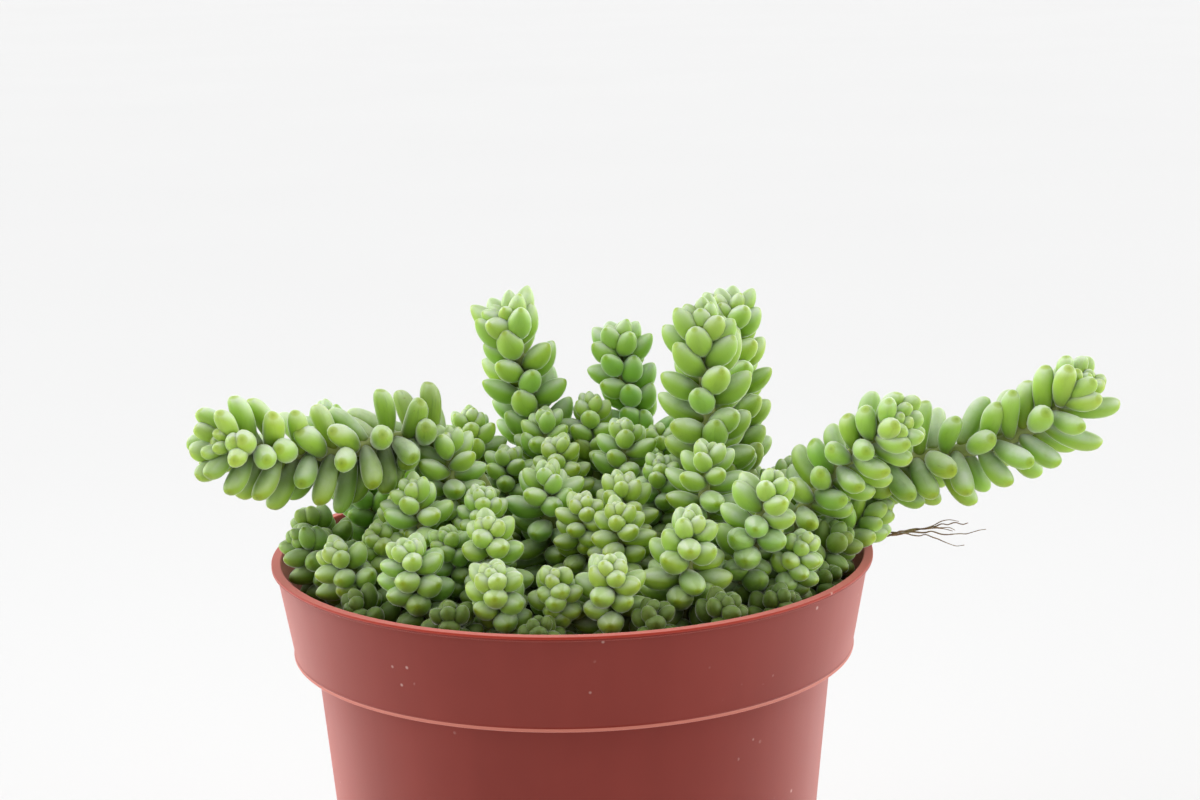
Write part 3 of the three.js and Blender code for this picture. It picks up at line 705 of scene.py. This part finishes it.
def add_core(build, stem, line, tint):
    """The stem under its leaves, from its root in the soil to its topmost leaf."""
    top = stem_top(stem, line)
    count = max(STEM_LEAST_RINGS, round(line.length / STEM_STEP))
    heights = np.linspace(0, top, count)
    radii = np.interp(heights, [0, top - STEM_TAPER, top],
                      [STEM_RADIUS, STEM_RADIUS, STEM_TIP_RADIUS])
    core = tube(line, heights, radii, STEM_SIDES)
    core[:STEM_SIDES, 2] -= ROOTED_DEPTH
    low = np.repeat(np.clip(1 - heights / WOODY_HEIGHT, 0, 1), STEM_SIDES)
    build.add(core, tube_faces(count, STEM_SIDES, False), along=0.0, upper=0.0, flank=0.0,
              tint=tint, old=low, young=0.0, deep=low, woody=1.0)


def grow_stems(stems, material):
    lines = [Line(over_soil(stem["route"])) for stem in stems]
    kept = placed_leaves(stems, lines)
    any_tints = np.random.default_rng(TINT_SEED).random(len(stems))
    leaf_faces = tube_faces(len(LEAF_RINGS), LEAF_SIDES, True)
    for stem, line, leaves, any_tint in zip(stems, lines, kept, any_tints):
        tint = TINTS.get(stem["name"], any_tint)
        low_stem = stem["name"].startswith("stem_low")
        shade = LOW_SHADE if low_stem else SHADED.get(stem["name"], 0.0)
        build = Builder()
        add_core(build, stem, line, tint)
        for leaf in leaves:
            values = leaf_values(leaf, line, tint, shade)
            build.add(leaf_points(line, leaf), leaf_faces, **values)
        piece = build.finished("leafy_" + stem["name"], material)
        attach(piece, "root")
        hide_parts(stem["name"])


# Pot


def rounded(profile, radius):
    """The profile's points with each corner turned into a small arc."""
    points = [np.array(profile[0], float)]
    for a, b, c in zip(profile, profile[1:], profile[2:]):
        a, b, c = (np.array(p, float) for p in (a, b, c))
        longest = min(np.linalg.norm(b - a) * CORNER_SHARE, np.linalg.norm(c - b) * CORNER_SHARE)
        reach = min(radius, longest)
        start, end = b + reach * unit(a - b), b + reach * unit(c - b)
        for t in np.linspace(0, 1, CORNER_STEPS + 1):
            points.append((1 - t) ** 2 * start + 2 * t * (1 - t) * b + t * t * end)
    return [*points, np.array(profile[-1], float)]


def body_radius(z):
    return BASE_RADIUS + (BODY_TOP_RADIUS - BASE_RADIUS) * z / BAND_BOTTOM


def pot_profile():
    """The wall's section from the underside out and up, over the lip and down the inside, as
    radius and height."""
    bead = BAND_BOTTOM_RADIUS + BEAD
    lip = POT_HEIGHT - LIP_DEPTH
    band_top = RIM_RADIUS - LIP_PROUD
    inner = RIM_RADIUS - LIP_WIDTH
    body = [
        (BASE_RADIUS - FOOT, 0), (BASE_RADIUS - 0.2, 0.2), (body_radius(FOOT), FOOT),
        (body_radius(BAND_BOTTOM * 0.5), BAND_BOTTOM * 0.5), (BODY_TOP_RADIUS, BAND_BOTTOM),
    ]
    band = [
        (BAND_BOTTOM_RADIUS - 0.15, BAND_BOTTOM - 0.1), (bead, BAND_BOTTOM + 0.05),
        (bead, BAND_BOTTOM + 0.5), (BAND_BOTTOM_RADIUS + 0.12, BAND_BOTTOM + 0.9),
        (band_top, lip - 0.3), (band_top + 0.3, lip),
    ]
    edge = [
        (RIM_RADIUS, lip), (RIM_RADIUS, lip + 0.22), (RIM_RADIUS - LIP_GROOVE, lip + 0.32),
        (RIM_RADIUS, lip + 0.42), (RIM_RADIUS, POT_HEIGHT), (inner, POT_HEIGHT),
    ]
    inside = [
        (inner, POT_HEIGHT - 1.2), (BAND_BOTTOM_RADIUS - WALL, BAND_BOTTOM + WALL + 0.8),
        (BODY_TOP_RADIUS - WALL, BAND_BOTTOM + WALL), (body_radius(FLOOR) - WALL, FLOOR),
        (body_radius(FLOOR) - WALL - 3, FLOOR),
    ]
    return rounded(body + band + edge + inside, CORNER_RADIUS)


def turned_pot(material):
    """The pot turned from its section, still without its drain holes."""
    profile = pot_profile()
    rings = len(profile)
    turns = np.linspace(0, 2 * math.pi, ROUND_SIDES, endpoint=False)
    points = [np.column_stack([radius * np.cos(turns), radius * np.sin(turns),
                               np.full(ROUND_SIDES, z)]) for radius, z in profile]
    points = np.vstack([*points, [[0, 0, 0]], [[0, 0, FLOOR]]])
    faces = tube_faces(rings, ROUND_SIDES, False)[1:-1]
    last = (rings - 1) * ROUND_SIDES
    for s in range(ROUND_SIDES):
        n = (s + 1) % ROUND_SIDES
        faces.append((n, s, rings * ROUND_SIDES))
        faces.append((last + s, last + n, rings * ROUND_SIDES + 1))
    build = Builder()
    build.add(points, faces)
    return build.finished("plastic_pot", material)


def drain_cutter(material):
    bottom, top = DRAIN_CUT
    build = Builder()
    for i in range(DRAIN_HOLES):
        angle = 2 * math.pi * i / DRAIN_HOLES
        x, y = DRAIN_CIRCLE * math.cos(angle), DRAIN_CIRCLE * math.sin(angle)
        middle = Line([(x, y, bottom), (x, y, (bottom + top) / 2), (x, y, top)])
        hole = tube(middle, (0, top - bottom), (DRAIN_RADIUS, DRAIN_RADIUS), DRAIN_SIDES)
        build.add(hole, tube_faces(2, DRAIN_SIDES, False))
    return build.finished("drain_cutter", material)


def make_pot(material):
    pot = turned_pot(material)
    cutter = drain_cutter(material)
    cut = pot.modifiers.new("drains", "BOOLEAN")
    cut.operation = "DIFFERENCE"
    cut.solver = "EXACT"
    cut.object = cutter
    bpy.context.view_layer.update()
    evaluated = pot.evaluated_get(bpy.context.evaluated_depsgraph_get())
    mesh = bpy.data.meshes.new_from_object(evaluated)
    pot.modifiers.clear()
    pot.data = mesh
    bpy.data.objects.remove(cutter)
    mesh.polygons.foreach_set("use_smooth", [abs(f.normal.z) < FLAT for f in mesh.polygons])
    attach(pot, "root")
    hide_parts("pot")


# Soil


def soil_height(x, y):
    """Gentle ups and downs of the soil's surface."""
    far = np.hypot(x, y) / BODY_TOP_RADIUS
    waves = (np.sin(0.31 * x + 1.3) * np.cos(0.27 * y - 0.6) + 0.6 * np.sin(0.9 * x - 0.7 * y)
             + 0.4 * np.cos(1.7 * x + 1.1 * y) * np.sin(1.3 * y))
    return SOIL_TOP - SOIL_CROWN * far**2 + SOIL_WAVE * waves


def lump_shape():
    """A plain faceted ball, which each lump of soil bends its own way."""
    shape = bmesh.new()
    bmesh.ops.create_icosphere(shape, subdivisions=2, radius=1.0)
    points = np.array([v.co for v in shape.verts])
    faces = [tuple(v.index for v in face.verts) for face in shape.faces]
    shape.free()
    return points, faces


def add_lumps(build, edge):
    rng = np.random.default_rng(SOIL_SEED)
    ball, ball_faces = lump_shape()
    least, spread = LUMP_STRETCH
    for _ in range(SOIL_LUMPS):
        out, turn = edge * LUMP_REACH * math.sqrt(rng.random()), rng.random() * 2 * math.pi
        x, y = out * math.cos(turn), out * math.sin(turn)
        size = LUMP_SMALLEST + LUMP_RANGE * rng.random() ** 3
        stretch = size * (least + spread * rng.random(3))
        shape = ball * (1 + noise_about(rng, LUMP_ROUGHNESS, len(ball))[:, None]) * stretch
        angle = rng.random() * 2 * math.pi
        spin = np.array(Matrix.Rotation(angle, 3, Vector(rng.random(3) - 0.5)))
        place = [x, y, float(soil_height(x, y)) + LUMP_PROUD * size]
        build.add(shape @ spin.T + place, ball_faces)


def make_soil(material):
    edge = BODY_TOP_RADIUS - WALL - SOIL_GAP
    turns = np.linspace(0, 2 * math.pi, SOIL_ROUND, endpoint=False)
    sections = [(body_radius(FLOOR) - WALL - SOIL_GAP, FLOOR + SOIL_GAP),
                (edge, BAND_BOTTOM + WALL)]
    rings = [np.column_stack([r * np.cos(turns), r * np.sin(turns), np.full(SOIL_ROUND, z)])
             for r, z in sections]
    for r in np.linspace(edge, 0, SOIL_RINGS, endpoint=False):
        x, y = r * np.cos(turns), r * np.sin(turns)
        rings.append(np.column_stack([x, y, soil_height(x, y)]))
    points = np.vstack([*rings, [[0, 0, float(soil_height(0.0, 0.0))]]])
    build = Builder()
    build.add(points, tube_faces(len(rings), SOIL_ROUND, True))
    add_lumps(build, edge)
    soil = build.finished("potting_soil", material)
    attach(soil, "root")
    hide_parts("soil")


# Aerial roots


def make_roots(material):
    build = Builder()
    rng = np.random.default_rng(ROOT_SEED)
    for route, thick, thin in ROOT_STRANDS:
        plain = Line(over_soil(route))
        heights = np.linspace(0, plain.length, max(4, round(plain.length / ROOT_KINK)))
        points = np.array([plain.place(height)[0] for height in heights])
        points[1:] += noise_about(rng, ROOT_WAVE, (len(points) - 1, 3))
        line = Line(points)
        count = round(line.length / ROOT_STEP)
        radii = np.linspace(thick, thin, count) * (1 + noise_about(rng, ROOT_UNEVEN, count))
        heights = np.linspace(0, line.length, count)
        build.add(tube(line, heights, radii, ROOT_SIDES), tube_faces(count, ROOT_SIDES, False))
    roots = build.finished("root_strands", material)
    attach(roots, "root")
    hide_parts("aerial_roots")


# Materials


class Nodes:
    """The node tree of a new material or world, with short calls for its usual nodes."""

    def __init__(self, owner):
        owner.use_nodes = True
        self.owner = owner
        self.tree = owner.node_tree

    def node(self, kind, **settings):
        node = self.tree.nodes.new(kind)
        for key, value in settings.items():
            setattr(node, key, value)
        return node

    def join(self, source, target):
        self.tree.links.new(source, target)

    def fill(self, socket, value):
        if isinstance(value, bpy.types.NodeSocket):
            self.join(value, socket)
        elif isinstance(value, tuple) and len(value) == 3 and socket.type == "RGBA":
            socket.default_value = (*value, 1)
        else:
            socket.default_value = value

    def value(self, name):
        return self.node("ShaderNodeAttribute", attribute_name=name).outputs["Fac"]

    def parts(self, vector):
        """A vector's X, Y and Z."""
        node = self.node("ShaderNodeSeparateXYZ")
        self.join(vector, node.inputs[0])
        return node.outputs

    def maths(self, operation, *values):
        node = self.node("ShaderNodeMath", operation=operation)
        for socket, value in zip(node.inputs, values):
            self.fill(socket, value)
        return node.outputs[0]

    def ranged(self, value, low, high, to_low=0.0, to_high=1.0):
        """The value turned smoothly from low..high into to_low..to_high."""
        node = self.node("ShaderNodeMapRange", interpolation_type="SMOOTHSTEP")
        for name, given in zip(("Value", "From Min", "From Max", "To Min", "To Max"),
                               (value, low, high, to_low, to_high)):
            self.fill(node.inputs[name], given)
        return node.outputs["Result"]

    def blend(self, share, a, b, kind="MIX"):
        node = self.node("ShaderNodeMix", data_type="RGBA", blend_type=kind)
        self.fill(node.inputs[0], share)
        self.fill(node.inputs[6], a)
        self.fill(node.inputs[7], b)
        return node.outputs[2]

    def ramp(self, value, stops):
        node = self.node("ShaderNodeValToRGB")
        elements = node.color_ramp.elements
        while len(elements) < len(stops):
            elements.new(0.5)
        for element, (place, colour) in zip(elements, stops):
            element.position = place
            element.color = (*colour, 1)
        self.join(value, node.inputs[0])
        return node.outputs["Color"]

    def position(self, stretch=(1, 1, 1)):
        place = self.node("ShaderNodeTexCoord").outputs["Object"]
        mapping = self.node("ShaderNodeMapping")
        self.join(place, mapping.inputs["Vector"])
        mapping.inputs["Scale"].default_value = stretch
        return mapping.outputs[0]

    def noise(self, scale, detail=2.0, rough=0.5, where=None, offset=None):
        node = self.node("ShaderNodeTexNoise")
        if offset is not None:
            node.noise_dimensions = "4D"
            self.fill(node.inputs["W"], offset)
        self.join(where or self.position(), node.inputs["Vector"])
        node.inputs["Scale"].default_value = scale
        node.inputs["Detail"].default_value = detail
        node.inputs["Roughness"].default_value = rough
        return node.outputs["Fac"]

    def cells(self, scale):
        node = self.node("ShaderNodeTexVoronoi")
        self.join(self.position(), node.inputs["Vector"])
        node.inputs["Scale"].default_value = scale
        return node.outputs

    def bump(self, height, strength, distance, onto=None):
        node = self.node("ShaderNodeBump")
        self.join(height, node.inputs["Height"])
        node.inputs["Strength"].default_value = strength
        node.inputs["Distance"].default_value = distance
        if onto is not None:
            self.join(onto, node.inputs["Normal"])
        return node.outputs[0]

    def shade(self, **inputs):
        shader = self.tree.nodes["Principled BSDF"]
        for name, value in inputs.items():
            self.fill(shader.inputs[name.replace("_", " ")], value)
        return self.owner


def leaf_body(n, along, tint, old, young, midrib):
    """The leaf's greens from its root to its tip, cool or warm, fresh or aged; the paler band
    short of the tip is partly painted rim sheen.
    """
    body = n.ramp(along, LEAF_GREENS)
    cool = n.blend(1.0, body, COOLER, "MULTIPLY")
    warm = n.blend(1.0, body, WARMER, "MULTIPLY")
    fresh = n.blend(n.maths("MULTIPLY", young, 0.5), n.blend(tint, cool, warm), YOUNG)
    aged = n.blend(n.ranged(old, 0.2, 1.0, 0.0, 0.7), fresh, OLD)
    return n.blend(n.maths("MULTIPLY", midrib, 0.35), aged, MIDRIB)


def leaf_wrinkles(n, along, upper, flank, tint, old):
    """Fine lines along the leaf, more of them where it is old."""
    grain = n.node("ShaderNodeCombineXYZ")
    for socket, value in zip(grain.inputs, (upper, flank, n.maths("MULTIPLY", along, 1.1))):
        n.fill(socket, value)
    streaks = n.noise(3.4, 4, 0.6, grain.outputs[0], offset=n.maths("MULTIPLY", tint, 60.0))
    return n.maths("MULTIPLY", n.ranged(streaks, 0.5, 0.72), n.ranged(old, 0.15, 0.9, 0.12, 0.55))


def leaf_bloom_and_highlight(n, clouds, along, midrib, wrinkles, deep, old):
    """How pale the wax bloom and a painted highlight make the leaf: most on faces turned up,
    which stands for light from above, little at its tip and in painted shade.
    """
    # faces turned up get the most: a painted highlight from the light above
    facing_up = n.parts(n.node("ShaderNodeNewGeometry").outputs["Normal"])["Z"]
    bloom = n.maths("MULTIPLY", n.ranged(clouds, 0.3, 0.72, 0.5, 0.95),
                    n.ranged(facing_up, -0.25, 0.85, 0.03, 1.0))
    # less of it at the tip, on the midrib and wrinkles, in painted shade and on old leaves
    for bloom_cut in (
        n.ranged(along, 0.955, 0.998, 1.0, 0.12),
        n.ranged(midrib, 0.0, 1.0, 1.0, 0.6),
        n.ranged(wrinkles, 0.0, 0.6, 1.0, 0.6),
        n.ranged(deep, 0.0, 0.9, 1.0, 0.25),
        n.ranged(old, 0.2, 1.0, 1.0, 0.35),
    ):
        bloom = n.maths("MULTIPLY", bloom, bloom_cut)
    return bloom


def leaf_material():
    """Waxy, slightly see-through green with a pale wax bloom and a painted highlight on faces
    turned up, a yellow green tip, older leaves more olive, and painted shade where the crowd
    shadows it."""
    n = Nodes(bpy.data.materials.new("burros_tail_leaf"))
    along, upper, flank = (n.value(name) for name in ("along", "upper", "flank"))
    tint, old, young, deep = (n.value(name) for name in ("tint", "old", "young", "deep"))
    midrib = n.maths("MULTIPLY", n.ranged(upper, 0.75, 1.0), n.ranged(along, 0.2, 0.6))
    wrinkles = leaf_wrinkles(n, along, upper, flank, tint, old)
    clouds = n.noise(260, 3, 0.6, offset=n.maths("MULTIPLY", tint, 40.0))
    green = leaf_body(n, along, tint, old, young, midrib)
    lined = n.blend(wrinkles, green, WRINKLE)
    # pale wax bloom and painted highlight laid over the lined green
    bloomed_and_lit = n.blend(leaf_bloom_and_highlight(n, clouds, along, midrib, wrinkles, deep, old), lined, BLOOM_AND_HIGHLIGHT)
    specks = n.ranged(n.noise(620, 2, 0.5), 0.72, 0.78)
    specks = n.maths("MULTIPLY", specks, n.ranged(old, 0.2, 0.8, 0.1, 0.7))
    # painted shade: leaves in the crowd's dark are mixed towards a dark green
    painted_shaded = n.blend(n.maths("MULTIPLY", deep, 0.68), n.blend(specks, bloomed_and_lit, SPECK), PAINTED_SHADE_GREEN)
    colour = n.blend(n.value("woody"), painted_shaded, n.blend(old, STEM_GREEN, STEM_BROWN))
    surface = n.bump(clouds, 0.25, 0.0004)
    surface = n.bump(n.noise(1500, 2, 0.6), 0.12, 0.00008, surface)
    surface = n.bump(wrinkles, 0.35, 0.00025, surface)
    return n.shade(
        Base_Color=colour, Roughness=n.ranged(clouds, 0.3, 0.8, 0.45, 0.6), Normal=surface,
        Subsurface_Weight=0.45, Subsurface_Radius=(0.85, 1.0, 0.25), Subsurface_Scale=0.0022,
        Sheen_Weight=1.0, Sheen_Roughness=0.3, Sheen_Tint=(0.98, 1.0, 0.95), IOR=1.42,
    )


def pot_material():
    """Moulded plastic: terracotta coloured, satin, with faint upright streaks and dust specks, a
    rougher lip, and painted highlights: a lighter, redder lip and a pale line on the bead."""
    n = Nodes(bpy.data.materials.new("terracotta_plastic"))
    streaks = n.noise(46, 3, 0.6, n.position((1, 1, 0.06)))
    clouds = n.noise(22, 4, 0.6)
    base = n.blend(n.ranged(streaks, 0.3, 0.7), POT_DARK, POT_LIGHT)
    base = n.blend(n.ranged(clouds, 0.35, 0.75, 0.0, 0.35), base, POT_CLOUD)
    height = n.parts(n.position())["Z"]
    lip_bottom = POT_HEIGHT - LIP_DEPTH
    lip = n.ranged(height, (lip_bottom + 0.25) * MM, (lip_bottom + 0.4) * MM)
    # painted light: the lip's top is painted lighter and redder than the body
    base = n.blend(n.maths("MULTIPLY", lip, 0.85), base, LIP_PAINTED_LIGHT)
    # painted highlight: a pale line on the moulded bead at the bottom of the band
    bead = n.maths("COMPARE", height, (BAND_BOTTOM + 0.3) * MM, 0.35 * MM)
    base = n.blend(n.maths("MULTIPLY", bead, 0.6), base, BEAD_PAINTED_HIGHLIGHT)
    dust = n.ranged(n.cells(260)["Distance"], 0.05, 0.13, 1.0, 0.0)
    chosen = n.ranged(n.noise(90, 1, 0.5), 0.6, 0.66)
    base = n.blend(n.maths("MULTIPLY", n.maths("MULTIPLY", dust, chosen), 0.5), base, POT_DUST)
    surface = n.bump(streaks, 0.12, 0.0006)
    surface = n.bump(n.noise(2400, 2, 0.5), 0.06, 0.00006, surface)
    rough = n.maths("ADD", n.ranged(clouds, 0.3, 0.7, 0.31, 0.42), n.maths("MULTIPLY", lip, 0.35))
    return n.shade(
        Base_Color=base, Roughness=rough, Normal=surface, IOR=1.5, Specular_IOR_Level=0.25,
        Sheen_Weight=1.0, Sheen_Roughness=0.47, Sheen_Tint=(1.0, 0.45, 0.41),
    )


def soil_material():
    """Dark, damp potting mix with lighter bits."""
    n = Nodes(bpy.data.materials.new("potting_mix"))
    shade = n.node("ShaderNodeSeparateColor")
    n.join(n.cells(650)["Color"], shade.inputs[0])
    surface = n.bump(n.noise(900, 4, 0.7), 0.8, 0.0006)
    return n.shade(Base_Color=n.ramp(shade.outputs[0], SOIL_BITS), Roughness=0.9, Normal=surface,
                   Specular_IOR_Level=0.25)


def root_material():
    """Dry brown strands, paler in places."""
    n = Nodes(bpy.data.materials.new("dry_root"))
    change = n.noise(420, 3, 0.6)
    return n.shade(Base_Color=n.ramp(change, ROOT_BROWNS), Roughness=0.8,
                   Normal=n.bump(change, 0.5, 0.0003))


def floor_material():
    """A pale matte studio sweep."""
    n = Nodes(bpy.data.materials.new("studio_floor"))
    colour = n.blend(n.noise(3, 2, 0.5), *FLOOR_GREYS)
    return n.shade(Base_Color=colour, Roughness=0.9, Specular_IOR_Level=0.1)


# Studio


def make_floor():
    build = Builder()
    w = WIDE_FLOOR / MM
    corners = np.array([(-w, -w, 0), (w, -w, 0), (w, w, 0), (-w, w, 0)], float)
    build.add(corners, [(0, 1, 2, 3)])
    floor = build.finished("studio_floor", floor_material(), smooth=False)


def set_world():
    """A dim front, a soft sky, and a bright band round the sides and the back, as among white
    walls."""
    n = Nodes(bpy.data.worlds.new("soft_white"))
    parts = n.parts(n.node("ShaderNodeTexCoord").outputs["Generated"])
    back = n.ranged(parts["Y"], *BACK_SPAN)
    flank = n.ranged(n.maths("ABSOLUTE", parts["X"]), *FLANK_SPAN, 0.0, FLANK_LIGHT)
    band = n.ranged(parts["Z"], *BAND_SPAN, BAND_LIGHT, 0.0)
    walls = n.ranged(parts["Z"], *WALL_SPAN, 1.0, 0.0)
    strength = n.ranged(parts["Z"], *TOP_SPAN, 0.0, TOP_LIGHT)
    strength = n.maths("MULTIPLY_ADD", back, BACK_LIGHT - FRONT_LIGHT, strength)
    strength = n.maths("MULTIPLY_ADD", back, band, strength)
    strength = n.maths("MULTIPLY_ADD", flank, walls, strength)
    strength = n.maths("ADD", strength, FRONT_LIGHT)
    background = n.tree.nodes["Background"]
    n.join(strength, background.inputs["Strength"])
    background.inputs["Color"].default_value = (1, 1, 1, 1)
    bpy.context.scene.world = n.owner


def add_key_light():
    data = bpy.data.lights.new("key", "AREA")
    data.shape = "DISK"
    data.size = KEY_SIZE
    data.energy = KEY_POWER
    light = bpy.data.objects.new("key", data)
    light.location = KEY_PLACE
    aim = Vector(KEY_TARGET) - Vector(KEY_PLACE)
    light.rotation_euler = aim.to_track_quat("-Z", "Y").to_euler()
    bpy.context.scene.collection.objects.link(light)


def set_camera():
    """The photograph's camera: 466 mm in front of the pot's axis and 232 mm up, looking down by
    11.7 degrees."""
    level = math.cos(CAMERA_PITCH)
    ahead = Vector((math.sin(CAMERA_YAW) * level, math.cos(CAMERA_YAW) * level,
                    -math.sin(CAMERA_PITCH)))
    right = ahead.cross(Vector((0, 0, 1))).normalized()
    up = right.cross(ahead)
    turned_right = math.cos(CAMERA_ROLL) * right + math.sin(CAMERA_ROLL) * up
    turned_up = math.cos(CAMERA_ROLL) * up - math.sin(CAMERA_ROLL) * right
    data = bpy.data.cameras.new("camera")
    data.sensor_width = CAMERA_SENSOR
    data.lens = CAMERA_LENS
    data.clip_start, data.clip_end = CAMERA_CLIP
    camera = bpy.data.objects.new("camera", data)
    axes = Matrix((turned_right, turned_up, -ahead)).transposed().to_4x4()
    camera.matrix_world = Matrix.Translation(CAMERA_PLACE) @ axes
    bpy.context.scene.collection.objects.link(camera)
    bpy.context.scene.camera = camera


bpy.context.scene.view_settings.view_transform = "Standard"
set_camera()
set_world()
add_key_light()
make_floor()
short_stems = [short_stem(*row, index) for index, row in enumerate(SHORT_STEMS)]
grow_stems(STEMS + short_stems, leaf_material())
make_pot(pot_material())
make_soil(soil_material())
make_roots(root_material())

bpy.context.view_layer.update()
